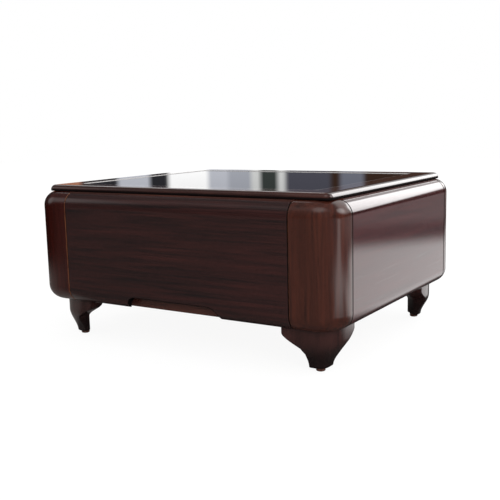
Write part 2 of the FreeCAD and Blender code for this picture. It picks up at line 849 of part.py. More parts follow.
bumper_thick = size.bumper_gap - size.bumper_play
bumper = group("bumper", [rod("bumper_disc", size.bumper_diameter, bumper_thick, Length.of(0))])
bumper_places = []
for side in (1, -1):
    across = post_in_x * (BUMPER_SHARE * side)
    bumper_places.append((across, rail_front, post_top - size.rail_thick / 2, "-y"))
    bumper_places.append((across, -rail_front, post_top - size.rail_thick / 2, "+y"))
node(group("bumpers", copies(bumper, bumper_places)), "drawer_bumpers")


# Telescopic slides: three channels one inside the other, with caged balls between them

slide_y = (size.slide_front - front_in_y, size.slide_front - front_in_y + slide_length)
race = size.ball_diameter + size.ball_play * 2
cabinet_reach = size.slide_height / 2
middle_reach = cabinet_reach - size.slide_wall - race
drawer_reach = middle_reach - size.slide_wall - race


def channel(name, x, reach, open_side):
    """A channel on the right-hand side between two places along X, open towards -X or +X."""
    shell = board(f"{name}_shell", x, slide_y, (slide_mid - reach, slide_mid + reach))
    hollow_x = (x[0], x[1] - size.slide_wall) if open_side == "-x" else (x[0] + size.slide_wall, x[1])
    inside = reach - size.slide_wall
    hollow = board(f"{name}_hollow", hollow_x, slide_y, (slide_mid - inside, slide_mid + inside))
    return cut(name, shell, hollow)


cabinet_x = (post_in_x - size.cabinet_lip, post_in_x)
middle_out = post_in_x - size.slide_wall - size.web_gap
middle_x = (middle_out - size.middle_lip, middle_out)
drawer_x = (box_x, box_x + size.drawer_lip)

cabinet = cut("cabinet_drilled", channel("cabinet_member", cabinet_x, cabinet_reach, "-x"), carcass_bores)
cabinet_front = both_sides(cabinet, "cabinet_pair")
cabinet_all = group("cabinet_members", [cabinet_front, mirrored(cabinet_front, "cabinet_pair_back", "y")])
node(cabinet_all, "slide_cabinet_members")
middle = channel("middle_member", middle_x, middle_reach, "-x")
pair(both_sides(middle, "middle_pair"), "slide_middle_members", "middle_members")
runner = cut("runner_drilled", channel("drawer_member", drawer_x, drawer_reach, "+x"), drawer_bores)
pair(both_sides(runner, "runner_pair"), "slide_drawer_members", "drawer_members")

cage_length = slide_length - slide_travel / 2 - size.cage_width * 2
cage_start = slide_y[0] + slide_travel / 4 + size.cage_width


def ball_cage(name, across, up):
    """The strips above and below a channel, each with its row of balls loose in round holes."""
    strip_x = (across - size.cage_width / 2, across + size.cage_width / 2)
    pieces = []
    for sign in (1, -1):
        level = slide_mid + up * sign
        strip_z = (level - size.cage_thick / 2, level + size.cage_thick / 2)
        strip = board(f"{name}_strip", strip_x, (cage_start, cage_start + cage_length), strip_z)
        holes = []
        for index in range(BALLS_IN_ROW):
            along = cage_start + cage_length * ((index + 0.5) / BALLS_IN_ROW)
            ball = doc.addObject("Part::Sphere", f"{name}_ball")
            ball.setExpression("Radius", (size.ball_diameter / 2).text)
            place(ball, across, along, level)
            pieces.append(ball)
            hole = rod(f"{name}_hole", size.ball_diameter + size.cage_play * 2, size.cage_thick * 2)
            place(hole, across, along, level - size.cage_thick)
            holes.append(hole)
        pieces.append(cut(f"{name}_cage", strip, group(f"{name}_holes", holes)))
    return both_sides(group(name, pieces), f"{name}_pair")


outer_across = (cabinet_x[0] + middle_x[1]) / 2
inner_across = (middle_x[0] + drawer_x[1]) / 2
outer_cage = ball_cage("outer_cage", outer_across, middle_reach + race / 2)
inner_cage = ball_cage("inner_cage", inner_across, drawer_reach + race / 2)
pair(outer_cage, "slide_outer_ball_cages", "outer_cages")
pair(inner_cage, "slide_inner_ball_cages", "inner_cages")


# Check every piece, then write it

doc.recompute()
for item in doc.Objects:
    bad = {"Invalid", "Error"} & set(item.State)
    assert not bad, f"{item.Name} ({item.Label}): {item.State}"
for piece in nodes:
    shape = piece.Shape
    assert not shape.isNull() and shape.isValid() and shape.Solids, f"{piece.Label}: no valid solid"
os.makedirs("parts", exist_ok=True)
for piece in nodes:
    piece.Shape.exportStep(f"parts/{piece.Label}.step")
    print(f"{piece.Label}: {len(piece.Shape.Solids)} solids, {piece.Shape.Volume / 1000:.1f} cm3")
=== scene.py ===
import math

import bmesh
import bpy
from mathutils import Matrix, Vector


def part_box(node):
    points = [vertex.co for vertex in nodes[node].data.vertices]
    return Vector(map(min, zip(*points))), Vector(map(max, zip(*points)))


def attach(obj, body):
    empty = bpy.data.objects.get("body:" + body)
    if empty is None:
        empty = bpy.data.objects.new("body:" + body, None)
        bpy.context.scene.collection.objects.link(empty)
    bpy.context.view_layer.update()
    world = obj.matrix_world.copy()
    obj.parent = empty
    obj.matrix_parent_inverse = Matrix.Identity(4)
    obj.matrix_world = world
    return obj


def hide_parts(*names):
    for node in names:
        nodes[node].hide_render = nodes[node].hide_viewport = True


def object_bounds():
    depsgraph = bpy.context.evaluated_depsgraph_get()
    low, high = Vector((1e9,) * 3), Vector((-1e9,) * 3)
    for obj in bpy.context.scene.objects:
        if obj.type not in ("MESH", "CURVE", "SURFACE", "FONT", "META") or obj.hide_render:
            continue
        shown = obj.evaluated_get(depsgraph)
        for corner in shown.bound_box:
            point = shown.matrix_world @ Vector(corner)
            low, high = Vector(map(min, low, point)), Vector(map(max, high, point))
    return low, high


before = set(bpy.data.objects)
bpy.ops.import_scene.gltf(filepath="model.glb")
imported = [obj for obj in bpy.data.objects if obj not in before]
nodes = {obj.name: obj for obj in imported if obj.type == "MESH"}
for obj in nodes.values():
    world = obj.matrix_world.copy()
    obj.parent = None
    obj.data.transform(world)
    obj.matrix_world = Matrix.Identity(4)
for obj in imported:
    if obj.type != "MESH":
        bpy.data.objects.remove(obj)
cad_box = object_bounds()


# Camera
# It stands to the right of the front, a little above the glass, and looks slightly down, so that
# one long face, one short face and a narrow view of the top are seen.

PHOTO_SIDE = 500
FOCAL_IN_PIXELS = 797
SENSOR_MM = 36
EYE = Vector((1.182, -1.852, 0.564))
YAW = math.radians(32.646)
PITCH = math.radians(-9.10)
ROLL = math.radians(-1.37)

camera = bpy.data.objects.new("camera", bpy.data.cameras.new("camera"))
camera.data.sensor_fit = "HORIZONTAL"
camera.data.sensor_width = SENSOR_MM
camera.data.lens = SENSOR_MM * FOCAL_IN_PIXELS / PHOTO_SIDE
level_view = Matrix.Rotation(math.pi / 2 + PITCH, 4, "X")
turned_view = Matrix.Rotation(YAW, 4, "Z") @ level_view @ Matrix.Rotation(ROLL, 4, "Z")
camera.matrix_world = Matrix.Translation(EYE) @ turned_view
bpy.context.scene.collection.objects.link(camera)
bpy.context.scene.camera = camera


# Bracket feet
# Each foot is carved from one block: a broad top that swells a little, S-shaped ends that run in to
# a narrow toe, and a flat across the inner corner. Dark stain under gloss lacquer, with painted shade
# that darkens it towards the toe.

FOOT_INSET, TOE_INSET = 0.033, 0.064
FOOT_REACH = (0.158, 0.159)
TOE_REACH = (0.104, 0.110)
FOOT_CORNER, TOE_CORNER = 0.080, 0.022
FOOT_CHAMFER, TOE_CHAMFER = 0.080, 0.028
FOOT_ARRIS = 0.0025
TOE_ROUND = 0.003
OUTER_CURVE = (0.33, 1.0)
INNER_CURVE = (0.13, 0.58)
FOOT_LEVELS = 44
ROUND_LEVELS = 4
CORNER_STEPS = 7
FOOT_CREASE = 50


def smooth_step(share, span):
    part = min(max((share - span[0]) / (span[1] - span[0]), 0), 1)
    return part * part * (3 - 2 * part)


def between(start, end, share):
    return start + (end - start) * share


def rounded(corners, radii, steps):
    """Points round a convex polygon, anticlockwise, with every corner turned to its own radius."""
    points = []
    for index, corner in enumerate(corners):
        back = (corners[index - 1] - corner).normalized()
        ahead = (corners[(index + 1) % len(corners)] - corner).normalized()
        half = back.angle(ahead) / 2
        centre = corner + (back + ahead).normalized() * (radii[index] / math.sin(half))
        start = corner + back * (radii[index] / math.tan(half)) - centre
        across = Vector((-start.y, start.x))
        for step in range(steps + 1):
            angle = (math.pi - 2 * half) * step / steps
            points.append(centre + start * math.cos(angle) + across * math.sin(angle))
    return points


def loft(name, outlines):
    """A closed mesh through level outlines [(height, points)], from the lowest to the highest."""
    shape = bmesh.new()
    rings = []
    for height, points in outlines:
        rings.append([shape.verts.new((point.x, point.y, height)) for point in points])
    for low, high in zip(rings, rings[1:]):
        for index in range(len(low)):
            after = (index + 1) % len(low)
            shape.faces.new((low[index], low[after], high[after], high[index]))
    shape.faces.new(list(reversed(rings[0])))
    shape.faces.new(rings[-1])
    mesh = bpy.data.meshes.new(name)
    shape.to_mesh(mesh)
    shape.free()
    return mesh


def soften(mesh, angle):
    """Smooth shading, with the edges that are sharper than the angle kept crisp."""
    mesh.polygons.foreach_set("use_smooth", [True] * len(mesh.polygons))
    mesh.set_sharp_from_angle(angle=math.radians(angle))


def piece(name, mesh, body, slot, *stands_for):
    """Put a finished mesh in the scene on a body, in place of the nodes that it stands for."""
    made = bpy.data.objects.new(name, mesh)
    bpy.context.scene.collection.objects.link(made)
    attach(made, body)
    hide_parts(*stands_for)
    return made


def foot_outline(share, half_x, half_y, pulled_in):
    """The front right foot's level outline at a share of its height below the top."""
    outer = smooth_step(share, OUTER_CURVE)
    inner = smooth_step(share, INNER_CURVE)
    inset = between(FOOT_INSET, TOE_INSET, outer) + pulled_in
    right = half_x - inset
    front = inset - half_y
    left = half_x - between(FOOT_REACH[0], TOE_REACH[0], inner) + pulled_in
    back = between(FOOT_REACH[1], TOE_REACH[1], inner) - half_y - pulled_in
    flat = between(FOOT_CHAMFER, TOE_CHAMFER, inner)
    corners = [
        Vector((left, front)), Vector((right, front)), Vector((right, back)),
        Vector((left + flat, back)), Vector((left, back - flat)),
    ]
    corner = between(FOOT_CORNER, TOE_CORNER, outer)
    return rounded(corners, [FOOT_ARRIS, corner, FOOT_ARRIS, FOOT_ARRIS, FOOT_ARRIS], CORNER_STEPS)


class Socket:
    """An output of a node tree. Arithmetic on it adds Math nodes; node() adds any other node."""

    def __init__(self, tree, output):
        self.tree = tree
        self.output = output

    def node(self, kind, settings, inputs, out=0):
        made = self.tree.nodes.new(kind)
        for setting, value in settings.items():
            if setting == "stops":
                stops = made.color_ramp.elements
                stops[0].position, stops[0].color = value[0][0], (*value[0][1], 1)
                stops[1].position, stops[1].color = value[-1][0], (*value[-1][1], 1)
                for where, colour in value[1:-1]:
                    stops.new(where).color = (*colour, 1)
            else:
                setattr(made, setting, value)
        for key, value in inputs.items():
            for link in value if isinstance(value, list) else [value]:
                if isinstance(link, Socket):
                    self.tree.links.new(link.output, made.inputs[key])
                else:
                    made.inputs[key].default_value = link
        return None if out is None else Socket(self.tree, made.outputs[out])

    def math(self, operation, *values):
        return self.node("ShaderNodeMath", {"operation": operation}, dict(enumerate(values)))

    def __add__(self, other):
        return self.math("ADD", self, other)

    def __sub__(self, other):
        return self.math("SUBTRACT", self, other)

    def __rsub__(self, other):
        return self.math("SUBTRACT", other, self)

    def __mul__(self, other):
        return self.math("MULTIPLY", self, other)

    def __truediv__(self, other):
        return self.math("DIVIDE", self, other)

    def __abs__(self):
        return self.math("ABSOLUTE", self)

    __radd__ = __add__
    __rmul__ = __mul__

    def root(self):
        return self.math("SQRT", self)

    def larger(self, other):
        return self.math("MAXIMUM", self, other)

    def rise(self, start, end):
        """0 before start, 1 after end, and smooth between them."""
        settings = {"interpolation_type": "SMOOTHSTEP"}
        return self.node("ShaderNodeMapRange", settings, {"Value": self, "From Min": start, "From Max": end})

    def scaled(self, scale, turn=(0, 0, 0)):
        return self.node("ShaderNodeMapping", {}, {"Vector": self, "Scale": scale, "Rotation": turn})

    def noise(self, scale, detail=3.0, bend=0.0):
        inputs = {"Vector": self, "Scale": scale, "Detail": detail, "Distortion": bend}
        return self.node("ShaderNodeTexNoise", {}, inputs)

    def parts(self):
        return [self.node("ShaderNodeSeparateXYZ", {}, {"Vector": self}, out) for out in range(3)]

    def mix(self, low, high):
        """A colour between two colours, by this value."""
        settings = {"data_type": "RGBA", "clamp_factor": True}
        inputs = {0: self}
        for key, colour in ((6, low), (7, high)):
            inputs[key] = colour if isinstance(colour, Socket) else (*colour, 1)
        return self.node("ShaderNodeMix", settings, inputs, 2)

    def bump(self, depth):
        return self.node("ShaderNodeBump", {}, {"Height": self, "Distance": depth})


def material(name, surface, steady):
    """One shader: steady values are set on its sockets, and surface(place) gives the changing ones."""
    made = bpy.data.materials.new(name)
    made.use_nodes = True
    tree = made.node_tree
    shader = tree.nodes["Principled BSDF"]
    for socket, value in steady.items():
        shader.inputs[socket].default_value = value
    place = Socket(tree, tree.nodes.new("ShaderNodeTexCoord").outputs["Object"])
    for socket, value in surface(place).items():
        tree.links.new(value.output, shader.inputs[socket])
    return made


def grain(axis, lengthwise, across):
    """Scales for a pattern that runs along one axis."""
    return tuple(lengthwise if name == axis else across for name in "xyz")


FIGURE, STREAKS, PORES, GLINT_BREAKS = (2.2, 52), (5.0, 210), (60, 1500), 90.0
GRAIN_CONTRAST = 1.5
PORE_SHARE = 0.4
GRAIN_RELIEF = 0.00006


def lacquered(axis, dark, red, groove=None, glint_line=None, shaded=None):
    """Lacquered stained wood: fine grain, painted shade in grooves and parts, painted edge highlights."""

    def surface(place):
        figure = place.scaled(grain(axis, *FIGURE)).noise(1.0, 3.0, 1.3)
        streaks = place.scaled(grain(axis, *STREAKS)).noise(1.0, 3.0, 0.8)
        pores = place.scaled(grain(axis, *PORES)).noise(1.0, 1.0).rise(0.62, 0.72)
        tone = 0.5 + GRAIN_CONTRAST * (figure - 0.5) + GRAIN_CONTRAST * (streaks - 0.5)
        colour = tone.mix(dark, red)
        colour = (pores * PORE_SHARE).mix(colour, tuple(part * 0.5 for part in dark))
        roughness = 0.26 + 0.14 * streaks.rise(0.25, 0.8) + 0.1 * pores
        sockets = {"Normal": (streaks - pores * PORE_SHARE).bump(GRAIN_RELIEF)}
        # Painted shade mixed over the parts that the shaded mask picks out.
        if shaded:
            colour = shaded(place).mix(colour, JOINT_SHADE)
        # A painted highlight: a pale, broken line along the seams.
        if glint_line:
            glint = glint_line(place) * (0.35 + 0.5 * place.noise(GLINT_BREAKS).rise(0.35, 0.65))
            colour = glint.mix(colour, SEAM_GLINT_COLOUR)
        # Painted shade in grooves and gaps: darker colour and no coat where shade falls between parts.
        if groove:
            deep = groove(place)
            colour = deep.mix(colour, JOINT_SHADE)
            roughness = roughness + 0.5 * deep
            sockets["Coat Weight"] = 1 - deep
        return {**sockets, "Base Color": colour, "Roughness": roughness}

    return surface


# The pale colour of the painted seam highlights, and the dark colour of joints and of painted shade.
SEAM_GLINT_COLOUR, JOINT_SHADE = (0.20, 0.075, 0.03), (0.006, 0.004, 0.004)
LACQUER = {"Coat Weight": 1.0, "Coat Roughness": 0.07, "Coat IOR": 1.9, "Specular IOR Level": 0.05}
FOOT_DARK, FOOT_RED = (0.020, 0.0075, 0.0068), (0.050, 0.0178, 0.0155)
TOE_SHADE, SHADE_LOW, SHADE_HIGH = 0.85, 0.030, 0.090


# Painted shade: the feet grow darker towards the toe.
def toe_shade(place):
    z = place.parts()[2]
    return TOE_SHADE * (1 - z.rise(SHADE_LOW, SHADE_HIGH))


foot_finish = material("foot_lacquer", lacquered("z", FOOT_DARK, FOOT_RED, shaded=toe_shade), LACQUER)
half_x, half_y = cad_box[1].x, cad_box[1].y
CORNERS = {
    "front_right": (1, -1), "front_left": (-1, -1), "back_right": (1, 1), "back_left": (-1, 1),
}
for corner_name, (side, end) in CORNERS.items():
    low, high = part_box(f"{corner_name}_foot")
    tall = high.z - low.z
    outlines = []
    for step in range(ROUND_LEVELS):
        angle = math.pi / 2 * step / ROUND_LEVELS
        height = low.z + TOE_ROUND * (1 - math.cos(angle))
        outlines.append((height, foot_outline(1, half_x, half_y, TOE_ROUND * (1 - math.sin(angle)))))
    for step in range(FOOT_LEVELS + 1):
        height = between(low.z + TOE_ROUND, high.z, step / FOOT_LEVELS)
        outlines.append((height, foot_outline((high.z - height) / tall, half_x, half_y, 0)))
    mesh = loft(f"{corner_name}_carved_foot", outlines)
    mesh.transform(Matrix.Diagonal((side, -end, 1, 1)))
    if side * end > 0:
        mesh.flip_normals()
    soften(mesh, FOOT_CREASE)
    mesh.materials.append(foot_finish)
    piece(f"{corner_name}_carved_foot", mesh, "table", "dark_lacquered_wood", f"{corner_name}_foot")


# Glides
# Brown plastic discs under the toes, with a rounded lower rim. A nail through the middle of each
# holds it to the foot, its head sunk out of sight.

DISC_SIDES = 32
DISC_RINGS = 9
GLIDE_RIM = 0.003
GLIDE_BROWN, GLIDE_PALE = (0.085, 0.032, 0.022), (0.12, 0.05, 0.036)
CLOUDS, SPECKS, SPECK_RELIEF = 120.0, 2500.0, 0.00005
MERGE = 1e-6
PIECE_CREASE = 35


def solids_of(node):
    """The points of each separate solid in a CAD node."""
    shape = bmesh.new()
    shape.from_mesh(nodes[node].data)
    bmesh.ops.remove_doubles(shape, verts=shape.verts, dist=MERGE)
    seen = set()
    found = []
    for start in shape.verts:
        if start in seen:
            continue
        seen.add(start)
        reached = [start]
        for vert in reached:
            for edge in vert.link_edges:
                other = edge.other_vert(vert)
                if other not in seen:
                    seen.add(other)
                    reached.append(other)
        found.append([vert.co.copy() for vert in reached])
    shape.free()
    return found


def corners_of(points):
    low = Vector(tuple(min(point[axis] for point in points) for axis in range(3)))
    high = Vector(tuple(max(point[axis] for point in points) for axis in range(3)))
    return low, high


def new_tree(name, *inputs):
    """A geometry tree with named inputs after its points, and those inputs as sockets."""
    tree = bpy.data.node_groups.new(name, "GeometryNodeTree")
    kinds = {"Points": "NodeSocketGeometry", "Finish": "NodeSocketMaterial"}
    for socket in ("Points", "Finish", *inputs):
        kind = kinds.get(socket, "NodeSocketFloat")
        tree.interface.new_socket(name=socket, in_out="INPUT", socket_type=kind)
    tree.interface.new_socket(name="Pieces", in_out="OUTPUT", socket_type="NodeSocketGeometry")
    given = tree.nodes.new("NodeGroupInput")
    return tree, [Socket(tree, output) for output in given.outputs[:len(inputs) + 2]]


def vector(x, y, z, start):
    return start.node("ShaderNodeCombineXYZ", {}, {"X": x, "Y": y, "Z": z})


def rounded_disc(radius, height, rim):
    """A disc from z = 0 up to its height, with a rounded rim at that end."""
    inputs = {
        "Vertices": DISC_SIDES, "Side Segments": DISC_RINGS, "Radius": radius, "Depth": height,
    }
    plain = radius.node("GeometryNodeMeshCylinder", {}, inputs)
    x, y, z = radius.node("GeometryNodeInputPosition", {}, {}).parts()
    up = z + height * 0.5
    past = (up - (height - rim)).larger(0.0)
    drawn_in = (radius - rim + (rim * rim - past * past).root()) / radius
    shaped = {"Geometry": plain, "Position": vector(x * drawn_in, y * drawn_in, up, radius)}
    return radius.node("GeometryNodeSetPosition", {}, shaped)


def set_on_points(points, shape, finish):
    """One shape on every point, its z axis turned to the point's way, as plain finished mesh."""
    way = points.node("GeometryNodeInputNamedAttribute", {"data_type": "FLOAT_VECTOR"}, {"Name": "way"})
    turn = points.node("FunctionNodeAlignRotationToVector", {"axis": "Z"}, {"Vector": way})
    spread = points.node(
        "GeometryNodeInstanceOnPoints", {}, {"Points": points, "Instance": shape, "Rotation": turn}
    )
    real = points.node("GeometryNodeRealizeInstances", {}, {"Geometry": spread})
    done = points.node("GeometryNodeSetMaterial", {}, {"Geometry": real, "Material": finish})
    points.node("NodeGroupOutput", {}, {"Pieces": done}, None)


def run_tree(name, tree, places, values):
    """Run a tree on points [(place, way)] and give the result as a plain mesh."""
    points = bpy.data.meshes.new(f"{name}_points")
    points.from_pydata([place for place, way in places], [], [])
    ways = points.attributes.new("way", "FLOAT_VECTOR", "POINT")
    for item, (place, way) in zip(ways.data, places):
        item.vector = way
    carrier = bpy.data.objects.new(f"{name}_carrier", points)
    bpy.context.scene.collection.objects.link(carrier)
    modifier = carrier.modifiers.new(name, "NODES")
    modifier.node_group = tree
    for item in tree.interface.items_tree:
        if item.in_out == "INPUT" and item.name in values:
            modifier[item.identifier] = values[item.name]
    ready = carrier.evaluated_get(bpy.context.evaluated_depsgraph_get())
    mesh = bpy.data.meshes.new_from_object(ready)
    mesh.name = name
    bpy.data.objects.remove(carrier)
    soften(mesh, PIECE_CREASE)
    return mesh


disc_tree, disc_inputs = new_tree("rounded_discs", "Radius", "Height", "Rim")
set_on_points(disc_inputs[0], rounded_disc(*disc_inputs[2:]), disc_inputs[1])


def moulded(colour, paler):
    """Moulded plastic or rubber: a faint cloudy tone and a fine dull texture."""

    def surface(place):
        cloud = place.noise(CLOUDS)
        fine = place.noise(SPECKS, 1.0)
        return {
            "Base Color": cloud.rise(0.3, 0.7).mix(colour, paler),
            "Roughness": 0.34 + 0.16 * fine,
            "Normal": fine.bump(SPECK_RELIEF),
        }

    return surface


glide_finish = material("glide_plastic", moulded(GLIDE_BROWN, GLIDE_PALE), {})
glide_solids = [corners_of(points) for points in solids_of("glides")]
low, high = glide_solids[0]
glide_sizes = {
    "Radius": (high.x - low.x) / 2, "Height": high.z - low.z, "Rim": GLIDE_RIM, "Finish": glide_finish,
}
places = []
for low, high in glide_solids:
    middle = (low + high) / 2
    places.append((Vector((middle.x, middle.y, high.z)), Vector((0, 0, -1))))
mesh = run_tree("nailed_glides", disc_tree, places, glide_sizes)
piece("nailed_glides", mesh, "table", "brown_plastic", "glides")


# Corner posts
# Solid posts with a broad round on the outer corner and on the top and bottom edges. The grain runs
# upright and the left pair is coloured darker and redder. A highlight is painted along the drawer's
# seams, and shade is painted in the seams to the side panels.

POST_DARK, POST_RED = (0.022, 0.0075, 0.0056), (0.068, 0.0170, 0.0096)
# The left pair is coloured darker and redder than the right pair.
LEFT_DARK, LEFT_RED = (0.016, 0.0026, 0.0018), (0.050, 0.0064, 0.0040)
seam_x = abs(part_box("front_right_post")[0].x)
seam_y = abs(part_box("front_right_post")[1].y)
SEAM, SIDE_SEAM = 0.0013, 0.0020


def dress(names, finish):
    for name in names:
        nodes[name].material_slots[0].material = finish


def near(distance, breadth):
    """1 on a line, 0 past a breadth from it."""
    return 1 - abs(distance).rise(breadth * 0.5, breadth)


# Painted highlight on the posts' edges beside the drawer fronts.
def front_seam_glint(place):
    x = place.parts()[0]
    return near(abs(x) - seam_x, SEAM)


# Painted shade in the seams between the posts and the side panels.
def side_seam_shade(place):
    y = place.parts()[1]
    return near(abs(y) - seam_y, SIDE_SEAM)


POST_LACQUER = {**LACQUER, "Coat Roughness": 0.14}
POST_COLOURS = {"right": (POST_DARK, POST_RED), "left": (LEFT_DARK, LEFT_RED)}
for side, colours in POST_COLOURS.items():
    post_surface = lacquered("z", *colours, side_seam_shade, front_seam_glint)
    post_finish = material(f"{side}_post_lacquer", post_surface, POST_LACQUER)
    dress([f"{end}_{side}_post" for end in ("front", "back")], post_finish)


# Side panels
# One broad board closes each short side between the posts, with its grain along the table's depth
# and its long edges rounded like the posts.

PANEL_DARK, PANEL_RED = (0.026, 0.0070, 0.0074), (0.074, 0.0150, 0.0150)
panel_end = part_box("right_side_panel")[1].y


# Painted shade in the seams at the panel's ends.
def panel_seam_shade(place):
    y = place.parts()[1]
    return near(abs(y) - panel_end, SIDE_SEAM)


panel_finish = material("panel_lacquer", lacquered("y", PANEL_DARK, PANEL_RED, panel_seam_shade), LACQUER)
dress(["right_side_panel", "left_side_panel"], panel_finish)


# Rails, cleats, battens and corner blocks
# The inner framing that the posts are dowelled to. Plain planed softwood, except the rails and the
# upper cleats, which show in the gaps round the drawers and are stained brown and lacquered.

PALE_WOOD, BROWN_WOOD = (0.50, 0.33, 0.18), (0.33, 0.19, 0.09)
GROWTH, FIBRES, FIBRE_RELIEF = (0.6, 9), (12, 700), 0.0001


def planed(axis):
    """Bare planed wood: growth rings drawn out along the grain, and fine raised fibres."""

    def surface(place):
        drawn_out = place.scaled(grain(axis, *GROWTH))
        bent = {"Vector": drawn_out, "Scale": 1.5, "Distortion": 2.2, "Detail": 2.0}
        settings = {"wave_type": "RINGS", "rings_direction": "SPHERICAL", "wave_profile": "SAW"}
        rings = place.node("ShaderNodeTexWave", settings, bent, 1)
        fibres = place.scaled(grain(axis, *FIBRES)).noise(1.0, 2.0)
        tone = rings * 0.55 + fibres.rise(0.3, 0.7) * 0.4
        return {
            "Base Color": tone.mix(PALE_WOOD, BROWN_WOOD),
            "Roughness": 0.55 + 0.2 * fibres,
            "Normal": (fibres + rings * 0.5).bump(FIBRE_RELIEF),
        }

    return surface


crosswise_wood = material("planed_wood_across", planed("x"), {})
lengthwise_wood = material("planed_wood_along", planed("y"), {})
upright_wood = material("planed_wood_upright", planed("z"), {})
RAIL_DARK, RAIL_RED = (0.040, 0.0140, 0.0105), (0.090, 0.0300, 0.0220)
rail_finish = material("rail_lacquer", lacquered("x", RAIL_DARK, RAIL_RED), LACQUER)
dress([f"{end}_{level}_rail" for end in ("front", "back") for level in ("top", "bottom")], rail_finish)
dress(["bottom_cleats", "right_slide_batten", "left_slide_batten"], lengthwise_wood)
dress(["top_cleats"], rail_finish)
dress(["corner_blocks"], upright_wood)


# Dust board and centre partition
# Plywood sheets: one lies on the bottom rails and cleats under both drawers, and one stands across
# the middle between them. Their edges show the plies.

PLY = 0.0014
WAVE_RATE = 20
VENEER, VENEER_FIBRES, VENEER_RELIEF = (2.5, 55), (15, 800), 0.00008
PLY_FACE, PLY_DARK = (0.46, 0.30, 0.17), (0.24, 0.13, 0.06)


def plied(axis, thickness):
    """Plywood: a veneer with its grain along one axis, and plies through the thickness axis."""

    def surface(place):
        veneer = place.scaled(grain(axis, *VENEER)).noise(1.0, 4.0, 1.5)
        fibres = place.scaled(grain(axis, *VENEER_FIBRES)).noise(1.0, 2.0)
        settings = {"wave_type": "BANDS", "bands_direction": thickness.upper()}
        layer = {"Vector": place, "Scale": 1 / (PLY * WAVE_RATE), "Distortion": 0.6, "Detail Scale": 40.0}
        plies = place.node("ShaderNodeTexWave", settings, layer, 1)
        facing = place.node("ShaderNodeNewGeometry", {}, {}, 1)
        edge = 1 - abs(facing.parts()["xyz".index(thickness)]).rise(0.4, 0.6)
        tone = veneer.rise(0.3, 0.7) * 0.45 + fibres * 0.25
        colour = (edge * plies.rise(0.35, 0.65)).mix(tone.mix(PLY_FACE, PLY_DARK), PLY_DARK)
        return {
            "Base Color": colour,
            "Roughness": 0.5 + 0.2 * fibres,
            "Normal": fibres.bump(VENEER_RELIEF),
        }

    return surface


level_plywood = material("level_plywood", plied("x", "z"), {})
upright_plywood = material("upright_plywood", plied("x", "y"), {})
dress(["bottom_board", "glass_backing_board"], level_plywood)
dress(["centre_partition"], upright_plywood)


# Dowels, bolts, nails and screws
# Beech dowels join the framing to the posts, and hanger bolts hold the feet. Zinc-plated screws with
# rounded cross heads fix the top, the dust board, the drawer boxes and the slides.

SCREW_SIDES = 12
CAP_ROUND = 0.7
CROSS_LONG, CROSS_WIDE, CROSS_TOP = 1.1, 0.24, -0.95
LENGTH_SLACK, END_SLACK = 0.0005, 1e-5
ZINC, ZINC_DULL = (0.56, 0.57, 0.60), (0.40, 0.41, 0.43)
DRAWN_LINES, LINE_RELIEF, BLOOM = (8, 1800), 0.00002, 60.0


def plated(axis):
    """Bright zinc plate: fine drawing lines, a cloudy bloom and a soft sheen."""

    def surface(place):
        lines = place.scaled(grain(axis, *DRAWN_LINES)).noise(1.0, 2.0)
        bloom = place.noise(BLOOM, 4.0, 1.0)
        return {
            "Base Color": bloom.rise(0.35, 0.75).mix(ZINC, ZINC_DULL),
            "Roughness": 0.2 + 0.14 * lines + 0.12 * bloom,
            "Normal": lines.bump(LINE_RELIEF),
        }

    return surface


def screw_shape(shank, length, head, cap):
    """A plain shank along +z and a rounded head below it, with a cross cut into the head."""
    body = shank.node(
        "GeometryNodeMeshCylinder", {}, {"Vertices": SCREW_SIDES, "Radius": shank, "Depth": length}
    )
    lifted = {"Geometry": body, "Translation": vector(0.0, 0.0, length * 0.5, shank)}
    body = shank.node("GeometryNodeTransform", {}, lifted)
    turned = {"Geometry": rounded_disc(head, cap, cap * CAP_ROUND), "Rotation": (math.pi, 0, 0)}
    dome = shank.node("GeometryNodeTransform", {}, turned)
    bars = []
    for long, wide in ((CROSS_LONG, CROSS_WIDE), (CROSS_WIDE, CROSS_LONG)):
        bar = shank.node("GeometryNodeMeshCube", {}, {"Size": vector(head * long, head * wide, cap, shank)})
        sunk = {"Geometry": bar, "Translation": vector(0.0, 0.0, cap * CROSS_TOP, shank)}
        bars.append(shank.node("GeometryNodeTransform", {}, sunk))
    cross = {"Mesh 1": dome, "Mesh 2": bars}
    cut_head = shank.node("GeometryNodeMeshBoolean", {"operation": "DIFFERENCE"}, cross)
    return shank.node("GeometryNodeJoinGeometry", {}, {"Geometry": [body, cut_head]})


screw_tree, screw_inputs = new_tree("cross_head_screws", "Shank", "Length", "Head", "Cap")
set_on_points(screw_inputs[0], screw_shape(*screw_inputs[2:]), screw_inputs[1])
SCREW_KINDS = {
    "wood_screws": {"Shank": 0.002, "Length": 0.030, "Head": 0.004, "Cap": 0.0025},
    "slide_screws": {"Shank": 0.00175, "Length": 0.010, "Head": 0.0035, "Cap": 0.0015},
}
zinc_along = material("zinc_plate_along", plated("y"), {"Metallic": 1.0})


def screw_places(node, sizes):
    """The seat and way of each screw in a node whose whole length is that of these sizes."""
    found = []
    for points in solids_of(node):
        low, high = corners_of(points)
        spans = high - low
        axis = max(range(3), key=lambda number: spans[number])
        if abs(spans[axis] - sizes["Length"] - sizes["Cap"]) > LENGTH_SLACK:
            continue
        middle = (low + high) / 2
        ends = {}
        for end in (low[axis], high[axis]):
            rim = [point for point in points if abs(point[axis] - end) < END_SLACK]
            ends[end] = max((point - middle).length_squared - (end - middle[axis]) ** 2 for point in rim)
        head_end = max(ends, key=ends.get)
        way = Vector((0, 0, 0))
        way[axis] = 1 if head_end < middle[axis] else -1
        seat = middle.copy()
        seat[axis] = head_end + way[axis] * sizes["Cap"]
        found.append((seat, way))
    return found


